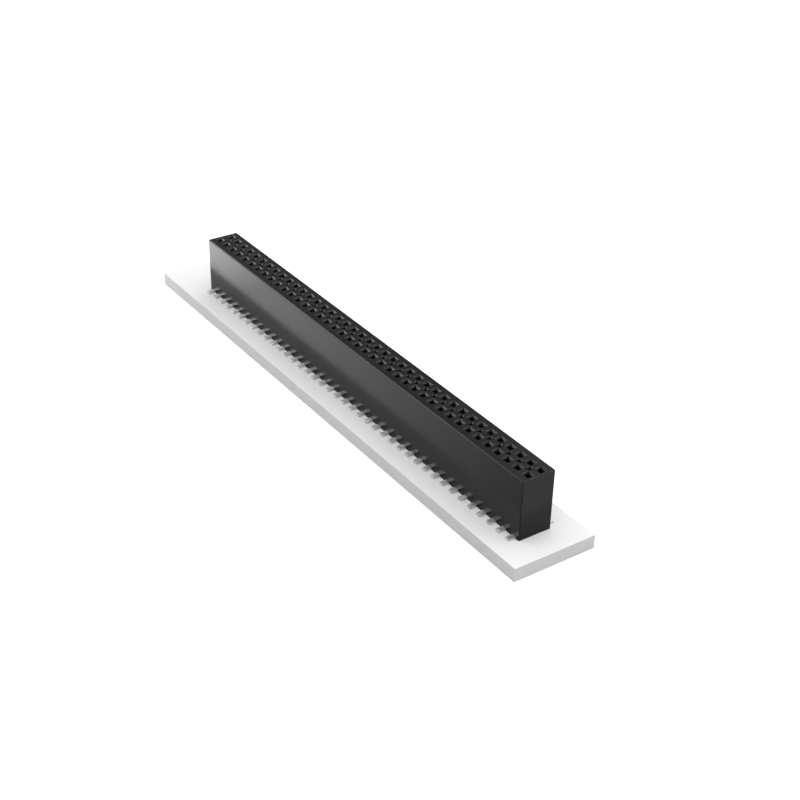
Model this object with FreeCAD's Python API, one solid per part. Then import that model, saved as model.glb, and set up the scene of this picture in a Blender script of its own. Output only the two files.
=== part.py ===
import FreeCAD
import Part
import math
import os

# A straight, two-row socket strip for a circuit board, soldered to a plain oblong board.
# Sizes are in millimetres. +X runs along the strip, +Y across it, +Z up.
# The origin is the middle of the board's underside. The strip stands nearer the board's +X end.

# The grid that the mating pins follow
PITCH = 1.27
ROW_GAP = 1.27
POSITIONS = 40
PIN_SIZE = 0.41

# Moulded housing
HOUSING_WIDTH = 3.2
HOUSING_HEIGHT = 5.6
END_DISTANCE = 0.635        # from the last position to the housing's end
EDGE_BEVEL = 0.07

# Socket in the housing's top, from the mouth down. The mouth is longer along the strip.
MOUTH_LENGTH = 0.82
MOUTH_WIDTH = 0.74
LEAD_IN_DEPTH = 0.20
PIN_SIDE_CLEARANCE = 0.095  # along the strip, where the contact's beams centre the pin
PIN_FACE_CLEARANCE = 0.03   # across the strip, where the throat itself guides the pin
THROAT_DEPTH = 0.73
CAVITY_DEPTH = 0.90         # across the strip, wall to wall

# Coring pockets between the rows, half a pitch out of step with the sockets
POCKET_MOUTH = 0.54
POCKET_SIZE = 0.36
POCKET_BEVEL = 0.12
POCKET_DEPTH = 0.60
POCKET_SIDES = 8

# Contact: a channel formed from thin strip, pushed up into its cavity from below.
# Its back lies on the cavity's outer wall, and its two sides rise as beams that grip the pin.
STRIP_THICKNESS = 0.20
CHANNEL_WIDTH = 0.92        # the cavity's width too, so the contact wedges in place
CHANNEL_DEPTH = 0.72        # across the strip, from the channel's back to its beams' free edges
CHANNEL_FOOT = 0.65         # height over the board where the lead widens into the channel
CHANNEL_HEAD = 2.40         # height over the board where the beams leave the channel's back
NIP_GAP = 0.33              # less than the pin, so the beams grip it
NIP_BELOW_TIP = 0.42
TIP_GAP = 0.48
TIP_CLEARANCE = 0.12        # under the cavity's ceiling
LEAD_WIDTH = 0.46
LEAD_REACH = 0.68           # past the housing's side
LEAD_TIP_SLOPE = 0.10       # how much further the sheared tip reaches at the bottom

# Slot in the housing's side wall that lets a lead out, with room all round it. The corner
# inside the lead's bend fills the same room, so it stays clear of the wall.
SLOT_CLEARANCE = 0.05

# Board
BOARD_THICKNESS = 1.27
BOARD_SIDE_MARGIN = 2.4
BOARD_NEAR_MARGIN = 2.6     # past the housing's +X end
BOARD_FAR_MARGIN = 5.8      # past the housing's -X end

HOUSING_LENGTH = (POSITIONS - 1) * PITCH + 2 * END_DISTANCE
BOARD_LENGTH = BOARD_FAR_MARGIN + HOUSING_LENGTH + BOARD_NEAR_MARGIN
BOARD_WIDTH = HOUSING_WIDTH + 2 * BOARD_SIDE_MARGIN

# The board is centred on the origin, so the housing's far end lies here
HOUSING_START = BOARD_FAR_MARGIN - BOARD_LENGTH / 2
FLOOR = BOARD_THICKNESS
TOP = FLOOR + HOUSING_HEIGHT
THROAT_X = PIN_SIZE + 2 * PIN_SIDE_CLEARANCE
THROAT_Y = PIN_SIZE + 2 * PIN_FACE_CLEARANCE
CEILING = TOP - LEAD_IN_DEPTH - THROAT_DEPTH

# Each socket's cavity, out from its row's line
CAVITY_WALL = CAVITY_DEPTH / 2


def position_x(number):
    """Centre of a socket, counted from 0 at the far end."""
    return HOUSING_START + END_DISTANCE + number * PITCH


def block(x_low, x_high, y_low, y_high, z_low, z_high):
    corner = FreeCAD.Vector(x_low, y_low, z_low)
    return Part.makeBox(x_high - x_low, y_high - y_low, z_high - z_low, corner)


def flat(points):
    return Part.Face(Part.makePolygon(points + points[:1]))


def between(lower, upper):
    """Solid between two level polygons that stand over each other and have as many corners."""
    faces = [flat(lower), flat(upper)]
    for i in range(len(lower)):
        faces.append(flat([lower[i - 1], lower[i], upper[i], upper[i - 1]]))
    solid = Part.makeSolid(Part.makeShell(faces))
    if solid.Volume < 0:
        solid.reverse()
    return solid


def oblong(length, width, y, z):
    """Corners of a level oblong, its middle at x = 0 and the given y and z."""
    return [FreeCAD.Vector(x * length / 2, y + side * width / 2, z)
            for x, side in ((1, 1), (-1, 1), (-1, -1), (1, -1))]


def ring(across, z):
    """Corners of a level regular polygon round the Z axis, two of its flats square to X."""
    radius = across / 2 / math.cos(math.pi / POCKET_SIDES)
    turns = [(corner + 0.5) * 2 * math.pi / POCKET_SIDES for corner in range(POCKET_SIDES)]
    return [FreeCAD.Vector(radius * math.cos(t), radius * math.sin(t), z) for t in turns]


def socket_tool():
    """What is cut away for one socket of the back row: lead-in, throat, cavity and lead slot."""
    row = ROW_GAP / 2
    lead_in = between(oblong(THROAT_X, THROAT_Y, row, TOP - LEAD_IN_DEPTH),
                      oblong(MOUTH_LENGTH, MOUTH_WIDTH, row, TOP))
    throat = block(-THROAT_X / 2, THROAT_X / 2, row - THROAT_Y / 2, row + THROAT_Y / 2,
                   CEILING, TOP - LEAD_IN_DEPTH)
    cavity = block(-CHANNEL_WIDTH / 2, CHANNEL_WIDTH / 2, row - CAVITY_WALL, row + CAVITY_WALL,
                   FLOOR, CEILING)
    half = LEAD_WIDTH / 2 + SLOT_CLEARANCE
    slot = block(-half, half, row, HOUSING_WIDTH / 2,
                 FLOOR, FLOOR + STRIP_THICKNESS + SLOT_CLEARANCE)
    return lead_in.fuse([throat, cavity, slot]).removeSplitter()


def pocket_tool():
    """What is cut away for one coring pocket: a bevelled mouth over a straight blind hole."""
    shaft = between(ring(POCKET_SIZE, TOP - POCKET_DEPTH), ring(POCKET_SIZE, TOP - POCKET_BEVEL))
    bevel = between(ring(POCKET_SIZE, TOP - POCKET_BEVEL), ring(POCKET_MOUTH, TOP))
    return shaft.fuse(bevel).removeSplitter()


def make_housing():
    body = block(HOUSING_START, HOUSING_START + HOUSING_LENGTH,
                 -HOUSING_WIDTH / 2, HOUSING_WIDTH / 2, FLOOR, TOP)
    seen = [edge for edge in body.Edges if edge.CenterOfMass.z > FLOOR + EDGE_BEVEL]
    body = body.makeChamfer(EDGE_BEVEL, seen)

    back = socket_tool()
    front = back.mirror(FreeCAD.Vector(0, 0, 0), FreeCAD.Vector(0, 1, 0))
    core = pocket_tool()
    tools = []
    for number in range(POSITIONS):
        step = FreeCAD.Vector(position_x(number), 0, 0)
        tools += [back.translated(step), front.translated(step)]
    for number in range(POSITIONS - 1):
        tools.append(core.translated(FreeCAD.Vector(position_x(number + 0.5), 0, 0)))
    return body.cut(tools)


def make_beam():
    """The channel's +X side and the beam that it becomes, for a back row contact."""
    wide = CHANNEL_WIDTH / 2
    nip = NIP_GAP / 2
    tip = TIP_GAP / 2
    tip_height = CEILING - TIP_CLEARANCE
    nip_height = tip_height - NIP_BELOW_TIP
    inside = [(wide - STRIP_THICKNESS, FLOOR + CHANNEL_FOOT),
              (wide - STRIP_THICKNESS, FLOOR + CHANNEL_HEAD), (nip, nip_height), (tip, tip_height)]
    outside = [(x + STRIP_THICKNESS, z) for x, z in inside]
    back = ROW_GAP / 2 + CAVITY_WALL
    points = [FreeCAD.Vector(x, back, z) for x, z in inside + outside[::-1]]
    return flat(points).extrude(FreeCAD.Vector(0, -CHANNEL_DEPTH, 0))


def make_lead():
    """The strip that comes down from the channel's back, bends out and lies on the board."""
    back = ROW_GAP / 2 + CAVITY_WALL
    end = HOUSING_WIDTH / 2 + LEAD_REACH
    outer_cut = SLOT_CLEARANCE + STRIP_THICKNESS * (2 - math.sqrt(2))
    outline = [(back, FLOOR + CHANNEL_FOOT), (back, FLOOR + STRIP_THICKNESS + SLOT_CLEARANCE),
               (back + SLOT_CLEARANCE, FLOOR + STRIP_THICKNESS),
               (end - LEAD_TIP_SLOPE, FLOOR + STRIP_THICKNESS),
               (end, FLOOR), (back - STRIP_THICKNESS + outer_cut, FLOOR),
               (back - STRIP_THICKNESS, FLOOR + outer_cut),
               (back - STRIP_THICKNESS, FLOOR + CHANNEL_FOOT)]
    points = [FreeCAD.Vector(-LEAD_WIDTH / 2, y, z) for y, z in outline]
    return flat(points).extrude(FreeCAD.Vector(LEAD_WIDTH, 0, 0))


def make_contact():
    """One contact of the back row, at x = 0."""
    beam = make_beam()
    other_beam = beam.mirror(FreeCAD.Vector(0, 0, 0), FreeCAD.Vector(1, 0, 0))
    back = ROW_GAP / 2 + CAVITY_WALL
    plate = block(-CHANNEL_WIDTH / 2, CHANNEL_WIDTH / 2, back - STRIP_THICKNESS, back,
                  FLOOR + CHANNEL_FOOT, FLOOR + CHANNEL_HEAD)
    return plate.fuse([beam, other_beam, make_lead()]).removeSplitter()


def make_board():
    return block(-BOARD_LENGTH / 2, BOARD_LENGTH / 2, -BOARD_WIDTH / 2, BOARD_WIDTH / 2,
                 0, BOARD_THICKNESS)


def save(shape, name):
    shape.exportStep(os.path.join("parts", name + ".step"))


os.makedirs("parts", exist_ok=True)
save(make_board(), "circuit_board")
save(make_housing(), "housing")

# Each position has one contact in the front row and one in the back row
back_contact = make_contact()
pair = [back_contact, back_contact.mirror(FreeCAD.Vector(0, 0, 0), FreeCAD.Vector(0, 1, 0))]
for number in range(POSITIONS):
    step = FreeCAD.Vector(position_x(number), 0, 0)
    contacts = Part.makeCompound([contact.translated(step) for contact in pair])
    save(contacts, "contact_pair_%02d" % (number + 1))
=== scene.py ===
import math

import bpy
from mathutils import Matrix, Vector


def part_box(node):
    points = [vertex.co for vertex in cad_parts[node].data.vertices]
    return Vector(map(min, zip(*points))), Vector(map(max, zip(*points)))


bl_info = {
    "name": "Socket Strip Looks",
    "version": (1, 0, 0),
    "blender": (4, 5, 0),
    "location": "3D View > Sidebar > Socket Strip",
    "description": "Finishes and studio stage for a two-row socket strip on its board",
    "category": "Object",
}

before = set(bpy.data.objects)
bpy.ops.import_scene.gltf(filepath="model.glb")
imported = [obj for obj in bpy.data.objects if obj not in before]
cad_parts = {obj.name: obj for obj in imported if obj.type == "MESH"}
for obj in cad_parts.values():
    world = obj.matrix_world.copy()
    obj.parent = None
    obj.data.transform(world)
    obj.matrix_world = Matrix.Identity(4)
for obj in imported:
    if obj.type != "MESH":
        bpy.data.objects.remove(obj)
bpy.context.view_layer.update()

MM = 0.001
HOUSING_LOW, HOUSING_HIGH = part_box("housing")
BOARD_LOW, BOARD_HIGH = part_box("circuit_board")
CONTACTS = sorted(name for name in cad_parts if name.startswith("contact_pair"))

# Where the camera stands, and the point on the part that it looks at
CAMERA_PLACE = Vector((96.095, -61.575, 69.506)) * MM
CAMERA_AIM = Vector((7.456, 0.463, 3.435)) * MM
CAMERA_ROLL = math.radians(1.36)

# The lens and the sensor's width are in millimetres, as Blender takes them
CAMERA_LENS = 65.35
CAMERA_SENSOR = 36.0
CAMERA_NEAREST = 1 * MM

# Noise patterns of the finishes, each as its features to the metre and its levels of detail
PLASTIC_FLOW = (300, 3)
PLASTIC_HAZE = (900, 2)
PLASTIC_SKIN = (9000, 2)
TIN_MOTTLE = (2500, 3)
TIN_SKIN = (14000, 2)
BOARD_MOTTLE = (350, 3)
BOARD_FIBRES = (900, 4)
BOARD_SKIN = (6000, 2)

# Noise seldom leaves this range, so a finish goes from its least to its most within it
NOISE_LOW, NOISE_HIGH = 0.3, 0.7

# How far a pattern takes a tone or a roughness, as shares of its setting
PLASTIC_TONES = (0.85, 1.15)
PLASTIC_DULLNESS = (0.85, 1.2)
TIN_TONES = (0.9, 1.08)
TIN_DULLNESS = (0.8, 1.25)
BOARD_TONES = (0.985, 1.01)
CUT_TONES = (0.95, 1.03)

# Depth of the fine bumps in each skin
PLASTIC_DEPTH = 0.002 * MM
TIN_DEPTH = 0.003 * MM
BOARD_DEPTH = 0.002 * MM

# How many times flatter than wide the fibres lie in the board's cut edges
FIBRE_FLATNESS = 8

# Samples that the shading of the housing's edges takes at each point
EDGE_SAMPLES = 8

FLOOR_ROUGHNESS = 0.9

# How far past the strip's far end the floor reaches its full brightness in a glossy face, and
# how far past that it is back at white
GLOW_RUN = 16 * MM

# How far out from the board's sides that graded floor reaches, and how softly it ends
GLOW_WIDTH = 5 * MM
GLOW_FADE = 3 * MM


class HousingSettings(bpy.types.PropertyGroup):
    colour: bpy.props.FloatVectorProperty(
        name="Plastic", description="Colour of the moulded housing", subtype="COLOR",
        size=3, min=0, max=1, default=(0.008, 0.008, 0.0085))
    gloss: bpy.props.FloatProperty(
        name="Roughness", description="How dull the housing's moulded faces are",
        subtype="FACTOR", min=0, max=1, default=0.16)
    sheen: bpy.props.FloatProperty(
        name="Specular", description="How strongly the moulded faces mirror what is round them",
        subtype="FACTOR", min=0, max=1, default=0.15)
    edge_round: bpy.props.FloatProperty(
        name="Edge rounding", description="Radius of the moulded edges", subtype="DISTANCE",
        unit="LENGTH", min=0, default=0.09 * MM)


class ContactSettings(bpy.types.PropertyGroup):
    colour: bpy.props.FloatVectorProperty(
        name="Tin", description="Colour of the tinned contacts and leads", subtype="COLOR",
        size=3, min=0, max=1, default=(0.68, 0.68, 0.67))
    # Painted shade: this share darkens the tin's upright faces that face along the strip, to
    # stand in for the shade on the leads' sides
    edge_tone_and_shade: bpy.props.FloatProperty(
        name="Edge share", description="How bright the stamped edges are beside the flat faces",
        subtype="FACTOR", min=0, max=1, default=0.9)
    # Painted shade: this share darkens the tin's faces that face across the strip, the leads' cut
    # tips among them, to stand in for the shade on them
    tip_painted_shade: bpy.props.FloatProperty(
        name="Tip share", description="How bright the cut tips are beside the flat faces",
        subtype="FACTOR", min=0, max=1, default=0.45)
    gloss: bpy.props.FloatProperty(
        name="Roughness", description="How dull the tin plating is",
        subtype="FACTOR", min=0, max=1, default=0.45)


class BoardSettings(bpy.types.PropertyGroup):
    colour: bpy.props.FloatVectorProperty(
        name="Board", description="Colour of the board's faces", subtype="COLOR",
        size=3, min=0, max=1, default=(0.85, 0.85, 0.845))
    # The board's cut edges: this share is partly the laminate's own tone and partly painted
    # shade, darkening the upright sides to stand in for the shade on them
    edge_tone_and_shade: bpy.props.FloatProperty(
        name="Edge share", description="How bright the cut edges are beside the coated faces",
        subtype="FACTOR", min=0, max=1, default=0.81)
    gloss: bpy.props.FloatProperty(
        name="Roughness", description="How dull the board's coating is",
        subtype="FACTOR", min=0, max=1, default=0.5)
    sheen: bpy.props.FloatProperty(
        name="Specular", description="How strongly the coating mirrors what is round it",
        subtype="FACTOR", min=0, max=1, default=0.08)


class StageSettings(bpy.types.PropertyGroup):
    floor_size: bpy.props.FloatProperty(
        name="Floor", description="Side of the square floor", subtype="DISTANCE",
        unit="LENGTH", min=0.1, default=1.0)
    floor_colour: bpy.props.FloatVectorProperty(
        name="Floor colour", description="Colour of the floor", subtype="COLOR",
        size=3, min=0, max=1, default=(0.7, 0.7, 0.7))
    floor_lift: bpy.props.FloatProperty(
        name="Floor lift", description="Brightness added to the floor as the camera sees it",
        min=0, default=0.55)
    room_light: bpy.props.FloatProperty(
        name="Room light", description="Strength of the even light from all round",
        min=0, default=0.38)
    lamp_light: bpy.props.FloatProperty(
        name="Lamp", description="Brightness of the wide lamp overhead", min=0, default=1.27)
    lamp_size: bpy.props.FloatProperty(
        name="Lamp size", description="Side of the square lamp overhead", subtype="DISTANCE",
        unit="LENGTH", min=0.01, default=1.25)
    lamp_height: bpy.props.FloatProperty(
        name="Lamp height", description="Height of the lamp over the board", subtype="DISTANCE",
        unit="LENGTH", min=0.1, default=0.5)
    lamp_shift: bpy.props.FloatVectorProperty(
        name="Lamp shift", description="From over the board's middle, along the strip and across",
        subtype="XYZ_LENGTH", unit="LENGTH", size=2, default=(0.11, 0.06))
    softbox_distance: bpy.props.FloatProperty(
        name="Softbox distance", description="From the middle of the board to each softbox",
        subtype="DISTANCE", unit="LENGTH", min=0.1, default=0.6)
    front_light: bpy.props.FloatProperty(
        name="Front softbox", description="Brightness of the softbox off the far front corner",
        min=0, default=6.6)
    front_turn: bpy.props.FloatProperty(
        name="Front turn", description="From the strip's far end round to the front softbox",
        subtype="ANGLE", unit="ROTATION", default=math.radians(27))
    front_rise: bpy.props.FloatProperty(
        name="Front rise", description="Height of the front and far softboxes as an angle",
        subtype="ANGLE", unit="ROTATION", default=math.radians(23.25))
    front_size: bpy.props.FloatVectorProperty(
        name="Front size", description="Width and height of the front and far softboxes",
        subtype="XYZ_LENGTH", unit="LENGTH", size=2, min=0.01, default=(0.5, 0.26))
    far_light: bpy.props.FloatProperty(
        name="Far softbox", description="Brightness that a softbox past the far end adds",
        min=0, default=1.6)
    far_turn: bpy.props.FloatProperty(
        name="Far turn", description="From the strip's far end round to the far softbox",
        subtype="ANGLE", unit="ROTATION", default=math.radians(17))
    back_light: bpy.props.FloatProperty(
        name="Back softbox", description="Brightness of the softbox off the near back corner",
        min=0, default=3.5)
    back_turn: bpy.props.FloatProperty(
        name="Back turn", description="From the strip's near end round to the back softbox",
        subtype="ANGLE", unit="ROTATION", default=math.radians(28))
    back_rise: bpy.props.FloatProperty(
        name="Back rise", description="Height of the back softbox as an angle",
        subtype="ANGLE", unit="ROTATION", default=math.radians(29))
    back_size: bpy.props.FloatVectorProperty(
        name="Back size", description="Width and height of the back softbox",
        subtype="XYZ_LENGTH", unit="LENGTH", size=2, min=0.01, default=(0.42, 0.42))
    far_glow: bpy.props.FloatProperty(
        name="Far glow", description="Floor past the far end, as glossy faces see it",
        min=0, default=7.2)
    middle_glow: bpy.props.FloatProperty(
        name="Middle glow", description="Floor beside the far end, as glossy faces see it",
        min=0, default=2.8)
    near_glow: bpy.props.FloatProperty(
        name="Near glow", description="Floor beside the near end, as glossy faces see it",
        min=0, default=0.42)
    end_glow: bpy.props.FloatProperty(
        name="End glow", description="Floor past the near end, as glossy faces see it",
        min=0, default=1.35)


def new_material(name, colour, roughness, metallic=0.0):
    """A plain shader, with its node tree, shader and Object coordinates ready for a pattern."""
    material = bpy.data.materials.new(name)
    material.use_nodes = True
    tree = material.node_tree
    shader = tree.nodes["Principled BSDF"]
    shader.inputs["Base Color"].default_value = (*colour, 1)
    shader.inputs["Roughness"].default_value = roughness
    shader.inputs["Metallic"].default_value = metallic
    place = tree.nodes.new("ShaderNodeTexCoord").outputs["Object"]
    return material, tree, shader, place


def noise(tree, place, pattern):
    """Fractal noise over the part, from 0 to 1."""
    scale, detail = pattern
    node = tree.nodes.new("ShaderNodeTexNoise")
    node.inputs["Scale"].default_value = scale
    node.inputs["Detail"].default_value = detail
    tree.links.new(place, node.inputs["Vector"])
    return node.outputs["Fac"]


def varied(tree, pattern, number, shares):
    """A number that the pattern takes from the lower to the higher of two shares of it."""
    node = tree.nodes.new("ShaderNodeMapRange")
    node.inputs["From Min"].default_value = NOISE_LOW
    node.inputs["From Max"].default_value = NOISE_HIGH
    node.inputs["To Min"].default_value = number * shares[0]
    node.inputs["To Max"].default_value = number * shares[1]
    tree.links.new(pattern, node.inputs["Value"])
    return node.outputs["Result"]


def toned(tree, pattern, colour, shares):
    """A colour that the pattern takes from the darker to the lighter of two shares of it."""
    ramp = tree.nodes.new("ShaderNodeValToRGB")
    for stop, value, share in zip(ramp.color_ramp.elements, (NOISE_LOW, NOISE_HIGH), shares):
        stop.position = value
        stop.color = (*shaded(colour, share), 1)
    tree.links.new(pattern, ramp.inputs["Fac"])
    return ramp.outputs["Color"]


def shaded(colour, share):
    return tuple(min(1, channel * share) for channel in colour)


def flattened(tree, place, times):
    """Coordinates whose pattern is that many times flatter than it is wide."""
    node = tree.nodes.new("ShaderNodeMapping")
    node.inputs["Scale"].default_value = (1, 1, times)
    tree.links.new(place, node.inputs["Vector"])
    return node.outputs["Vector"]


def by_facing(tree, axis, along, square):
    """One colour on the faces that an axis lies along, another on those square to it."""
    normal = tree.nodes.new("ShaderNodeTexCoord").outputs["Normal"]
    split = tree.nodes.new("ShaderNodeSeparateXYZ")
    tree.links.new(normal, split.inputs["Vector"])
    return colour_mix(tree, reckoned(tree, "ABSOLUTE", split.outputs[axis]), along, square)


def reckoned(tree, operation, *values):
    """The result of a Math node on the outputs of other nodes."""
    node = tree.nodes.new("ShaderNodeMath")
    node.operation = operation
    for value, socket in zip(values, node.inputs):
        tree.links.new(value, socket)
    return node.outputs["Value"]


def colour_mix(tree, share, first, second):
    """Blends two colours, each of them another node's output or a plain colour."""
    node = tree.nodes.new("ShaderNodeMix")
    node.data_type = "RGBA"
    tree.links.new(share, node.inputs["Factor"])
    colours = [socket for socket in node.inputs if socket.enabled and socket.name in "AB"]
    for socket, colour in zip(colours, (first, second)):
        if isinstance(colour, tuple):
            socket.default_value = colour
        else:
            tree.links.new(colour, socket)
    return next(socket for socket in node.outputs if socket.enabled)


def bumps(tree, shader, height, depth):
    node = tree.nodes.new("ShaderNodeBump")
    node.inputs["Distance"].default_value = depth
    tree.links.new(height, node.inputs["Height"])
    tree.links.new(node.outputs["Normal"], shader.inputs["Normal"])
    return node


def soft_edges(tree, skin, radius):
    """Shades the edges as if they were rounded, under the bumps of the skin."""
    node = tree.nodes.new("ShaderNodeBevel")
    node.samples = EDGE_SAMPLES
    node.inputs["Radius"].default_value = radius
    tree.links.new(node.outputs["Normal"], skin.inputs["Normal"])


def moulded_plastic(settings):
    material, tree, shader, place = new_material(
        "moulded_black_plastic", settings.colour, settings.gloss)
    shader.inputs["Specular IOR Level"].default_value = settings.sheen
    flow = noise(tree, place, PLASTIC_FLOW)
    haze = noise(tree, place, PLASTIC_HAZE)
    colour = toned(tree, flow, settings.colour, PLASTIC_TONES)
    tree.links.new(colour, shader.inputs["Base Color"])
    dullness = varied(tree, haze, settings.gloss, PLASTIC_DULLNESS)
    tree.links.new(dullness, shader.inputs["Roughness"])
    skin = bumps(tree, shader, noise(tree, place, PLASTIC_SKIN), PLASTIC_DEPTH)
    soft_edges(tree, skin, settings.edge_round)
    return material


def tin_plate(settings):
    material, tree, shader, place = new_material(
        "tinned_contact_strip", settings.colour, settings.gloss, metallic=1.0)
    mottle = noise(tree, place, TIN_MOTTLE)
    # Painted shade: the flat faces keep the tin's colour, while the upright faces along the strip
    # and those facing across it get darker copies of it
    flat, edge, shaded_tip = [toned(tree, mottle, shaded(settings.colour, share), TIN_TONES)
                       for share in (1, settings.edge_tone_and_shade, settings.tip_painted_shade)]
    strip = by_facing(tree, "Z", edge, flat)
    tree.links.new(by_facing(tree, "Y", strip, shaded_tip), shader.inputs["Base Color"])
    dullness = varied(tree, mottle, settings.gloss, TIN_DULLNESS)
    tree.links.new(dullness, shader.inputs["Roughness"])
    bumps(tree, shader, noise(tree, place, TIN_SKIN), TIN_DEPTH)
    return material


def coated_board(settings):
    material, tree, shader, place = new_material(
        "coated_white_board", settings.colour, settings.gloss)
    shader.inputs["Specular IOR Level"].default_value = settings.sheen
    mottle = noise(tree, place, BOARD_MOTTLE)
    fibres = noise(tree, flattened(tree, place, FIBRE_FLATNESS), BOARD_FIBRES)
    coated = toned(tree, mottle, settings.colour, BOARD_TONES)
    # The upright cut edges get a darker copy of the board's colour: partly the laminate's own
    # tone, partly painted shade
    laminate_and_shade = toned(tree, fibres, shaded(settings.colour, settings.edge_tone_and_shade), CUT_TONES)
    tree.links.new(by_facing(tree, "Z", laminate_and_shade, coated), shader.inputs["Base Color"])
    bumps(tree, shader, noise(tree, place, BOARD_SKIN), BOARD_DEPTH)
    return material


def dress(name, material):
    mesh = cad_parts[name].data
    mesh.materials.clear()
    mesh.materials.append(material)


class SOCKETSTRIP_OT_housing(bpy.types.Operator):
    """Gives the housing its moulded plastic"""
    bl_idname = "socketstrip.housing"
    bl_label = "Finish Housing"

    def execute(self, context):
        dress("housing", moulded_plastic(context.scene.strip_housing))
        return {"FINISHED"}


class SOCKETSTRIP_OT_contacts(bpy.types.Operator):
    """Gives every contact and lead its tin plating"""
    bl_idname = "socketstrip.contacts"
    bl_label = "Finish Contacts"

    def execute(self, context):
        plating = tin_plate(context.scene.strip_contacts)
        for name in CONTACTS:
            dress(name, plating)
        return {"FINISHED"}


class SOCKETSTRIP_OT_board(bpy.types.Operator):
    """Gives the board its white coating"""
    bl_idname = "socketstrip.board"
    bl_label = "Finish Board"

    def execute(self, context):
        dress("circuit_board", coated_board(context.scene.strip_board))
        return {"FINISHED"}


class SOCKETSTRIP_OT_stage(bpy.types.Operator):
    """Sets up the floor, the lights and the camera"""
    bl_idname = "socketstrip.stage"
    bl_label = "Set Stage"

    def execute(self, context):
        settings = context.scene.strip_stage
        lay_floor(settings)
        light_room(context, settings)
        aim_camera(context)
        context.scene.view_settings.view_transform = "Standard"
        return {"FINISHED"}


def lay_floor(settings):
    bpy.ops.mesh.primitive_plane_add(size=settings.floor_size, location=(0, 0, BOARD_LOW.z))
    floor = bpy.context.object
    floor.name = "floor"
    material, tree, shader, place = new_material(
        "pale_floor", settings.floor_colour, FLOOR_ROUGHNESS)
    shader.inputs["Specular IOR Level"].default_value = 0
    lit = shader.outputs["BSDF"]
    mirrored = beside_strip(tree, place, settings)
    seen = tree.nodes.new("ShaderNodeAddShader")
    tree.links.new(lit, seen.inputs[0])
    tree.links.new(glowing(tree, settings.floor_lift), seen.inputs[1])
    by_ray(tree, tree.nodes["Material Output"], lit, mirrored, seen.outputs["Shader"])
    floor.data.materials.append(material)


def beside_strip(tree, place, settings):
    """The floor as glossy faces see it: white, but graded along both sides of the strip.

    Behind the board the grading fades out from the board's middle to the strip's far end, and
    past that end it lies only in front.
    """
    split = tree.nodes.new("ShaderNodeSeparateXYZ")
    tree.links.new(place, split.inputs["Vector"])
    peak = HOUSING_LOW.x - GLOW_RUN
    far, near = peak - GLOW_RUN, BOARD_HIGH.x
    glows = {far: 1, peak: settings.far_glow, HOUSING_LOW.x: settings.middle_glow,
             HOUSING_HIGH.x: settings.near_glow, near: settings.end_glow}
    brightest = max(glows.values())
    ramp = tree.nodes.new("ShaderNodeValToRGB")
    stops = ramp.color_ramp.elements
    while len(stops) < len(glows):
        stops.new(0.5)  # each stop gets its own place below
    for stop, (x, glow) in zip(stops, glows.items()):
        stop.position = (x - far) / (near - far)
        stop.color = grey(glow / brightest)
    tree.links.new(share_of_way(tree, split.outputs["X"], far, near), ramp.inputs["Fac"])
    edge = BOARD_HIGH.y + GLOW_WIDTH
    out = reckoned(tree, "ABSOLUTE", split.outputs["Y"])
    aside = share_of_way(tree, out, edge, edge + GLOW_FADE)
    middle = (BOARD_LOW.x + BOARD_HIGH.x) / 2
    past = share_of_way(tree, split.outputs["X"], middle, HOUSING_LOW.x)
    behind = share_of_way(tree, split.outputs["Y"], BOARD_LOW.y, BOARD_LOW.y + GLOW_FADE)
    plain = reckoned(tree, "MAXIMUM", aside, reckoned(tree, "MULTIPLY", past, behind))
    mirrored = glowing(tree, brightest)
    blend = colour_mix(tree, plain, ramp.outputs["Color"], grey(1 / brightest))
    tree.links.new(blend, mirrored.node.inputs["Color"])
    return mirrored


def share_of_way(tree, value, start, end):
    """0 up to the start, 1 past the end, and even between them."""
    node = tree.nodes.new("ShaderNodeMapRange")
    node.inputs["From Min"].default_value = start
    node.inputs["From Max"].default_value = end
    tree.links.new(value, node.inputs["Value"])
    return node.outputs["Result"]


def grey(strength):
    return (strength, strength, strength, 1)


def glowing(tree, strength=1.0):
    node = tree.nodes.new("ShaderNodeEmission")
    node.inputs["Strength"].default_value = strength
    return node.outputs["Emission"]


def by_ray(tree, output, lit, mirrored, seen):
    """One look for the camera's rays, one for rays off glossy faces, and one for all others."""
    path = tree.nodes.new("ShaderNodeLightPath")
    straight = reckoned(tree, "MAXIMUM", path.outputs["Is Camera Ray"],
                        path.outputs["Is Transmission Ray"])
    indirect = mixed(tree, path.outputs["Is Glossy Ray"], lit, mirrored)
    tree.links.new(mixed(tree, straight, indirect, seen), output.inputs["Surface"])


def mixed(tree, share, first, second):
    node = tree.nodes.new("ShaderNodeMixShader")
    tree.links.new(share, node.inputs["Fac"])
    tree.links.new(first, node.inputs[1])
    tree.links.new(second, node.inputs[2])
    return node.outputs["Shader"]


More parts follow.
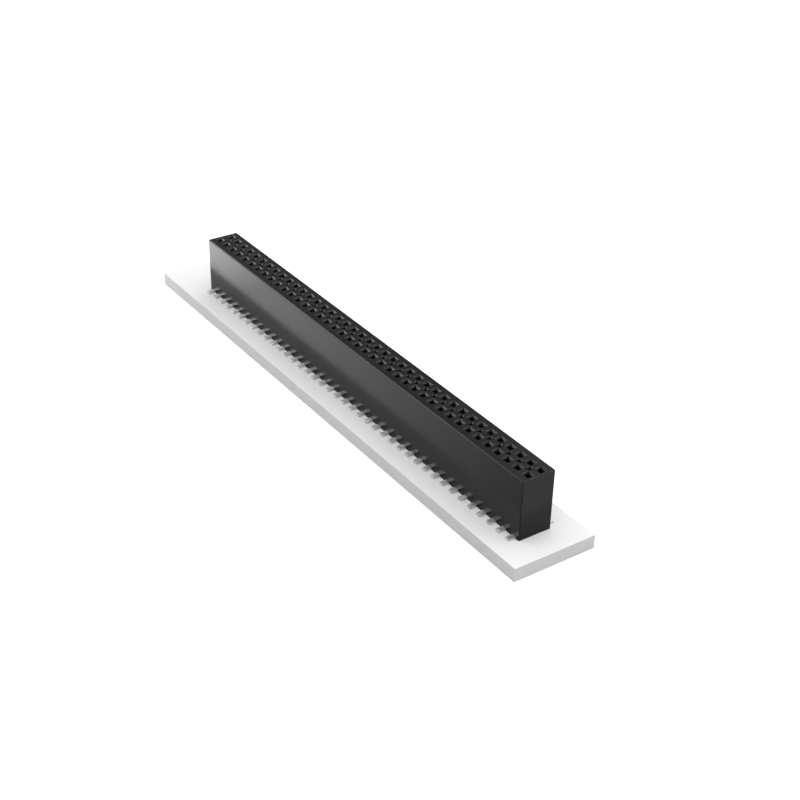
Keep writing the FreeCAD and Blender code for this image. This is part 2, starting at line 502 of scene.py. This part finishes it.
def light_room(context, settings):
    world = context.scene.world or bpy.data.worlds.new("studio")
    context.scene.world = world
    world.use_nodes = True
    tree = world.node_tree
    tree.nodes["Background"].inputs["Color"].default_value = (1, 1, 1, 1)
    tree.nodes["Background"].inputs["Strength"].default_value = settings.room_light
    room = tree.nodes["Background"].outputs["Background"]
    by_ray(tree, tree.nodes["World Output"], room, room, glowing(tree))
    centre = (BOARD_LOW + BOARD_HIGH) / 2
    aim = centre + Vector((*settings.lamp_shift, 0))
    overhead = aim + Vector((0, 0, settings.lamp_height))
    add_lamp("overhead_lamp", overhead, aim, [settings.lamp_size] * 2, settings.lamp_light)
    front = direction(math.pi + settings.front_turn, settings.front_rise)
    far = direction(math.pi + settings.far_turn, settings.front_rise)
    back = direction(settings.back_turn, settings.back_rise)
    for name, way, size, brightness in (
            ("front_softbox", front, settings.front_size, settings.front_light),
            ("far_softbox", far, settings.front_size, settings.far_light),
            ("back_softbox", back, settings.back_size, settings.back_light)):
        place = centre + settings.softbox_distance * way
        add_lamp(name, place, centre, size, brightness).visible_diffuse = False


def direction(turn, rise):
    """Unit vector that is turned from +X towards +Y and then raised."""
    level = math.cos(rise)
    return Vector((level * math.cos(turn), level * math.sin(turn), math.sin(rise)))


def add_lamp(name, place, aim, size, brightness):
    """An oblong lamp whose face is as bright as a white surface of that strength."""
    data = bpy.data.lights.new(name, "AREA")
    data.shape = "RECTANGLE"
    data.size, data.size_y = size
    data.energy = math.pi * size[0] * size[1] * brightness
    lamp = bpy.data.objects.new(name, data)
    bpy.context.scene.collection.objects.link(lamp)
    lamp.matrix_world = looking(place, aim)
    return lamp


def looking(place, aim, roll=0.0):
    """Matrix of a camera or lamp at one point that faces another, turned about its own view."""
    facing = (aim - place).to_track_quat("-Z", "Y").to_matrix().to_4x4()
    return Matrix.Translation(place) @ facing @ Matrix.Rotation(roll, 4, "Z")


def aim_camera(context):
    data = bpy.data.cameras.new("camera")
    data.lens = CAMERA_LENS
    data.sensor_width = CAMERA_SENSOR
    data.clip_start = CAMERA_NEAREST
    camera = bpy.data.objects.new("camera", data)
    context.scene.collection.objects.link(camera)
    camera.matrix_world = looking(CAMERA_PLACE, CAMERA_AIM, CAMERA_ROLL)
    context.scene.camera = camera


class SOCKETSTRIP_PT_panel(bpy.types.Panel):
    """Lists the finishes and the stage"""
    bl_label = "Socket Strip"
    bl_idname = "SOCKETSTRIP_PT_panel"
    bl_space_type = "VIEW_3D"
    bl_region_type = "UI"
    bl_category = "Socket Strip"

    def draw(self, context):
        for operator, (group, settings) in zip(OPERATORS, SETTINGS.items()):
            box = self.layout.box()
            box.operator(operator.bl_idname)
            for name in settings.__annotations__:
                box.prop(getattr(context.scene, group), name)


SETTINGS = {"strip_housing": HousingSettings, "strip_contacts": ContactSettings,
            "strip_board": BoardSettings, "strip_stage": StageSettings}
OPERATORS = (SOCKETSTRIP_OT_housing, SOCKETSTRIP_OT_contacts, SOCKETSTRIP_OT_board,
             SOCKETSTRIP_OT_stage)


def register():
    for name, settings in SETTINGS.items():
        bpy.utils.register_class(settings)
        setattr(bpy.types.Scene, name, bpy.props.PointerProperty(type=settings))
    for operator in OPERATORS:
        bpy.utils.register_class(operator)
    bpy.utils.register_class(SOCKETSTRIP_PT_panel)


def unregister():
    bpy.utils.unregister_class(SOCKETSTRIP_PT_panel)
    for operator in reversed(OPERATORS):
        bpy.utils.unregister_class(operator)
    for name, settings in reversed(SETTINGS.items()):
        delattr(bpy.types.Scene, name)
        bpy.utils.unregister_class(settings)


def main():
    register()
    bpy.ops.socketstrip.housing()
    bpy.ops.socketstrip.contacts()
    bpy.ops.socketstrip.board()
    bpy.ops.socketstrip.stage()


if __name__ == "__main__":
    main()
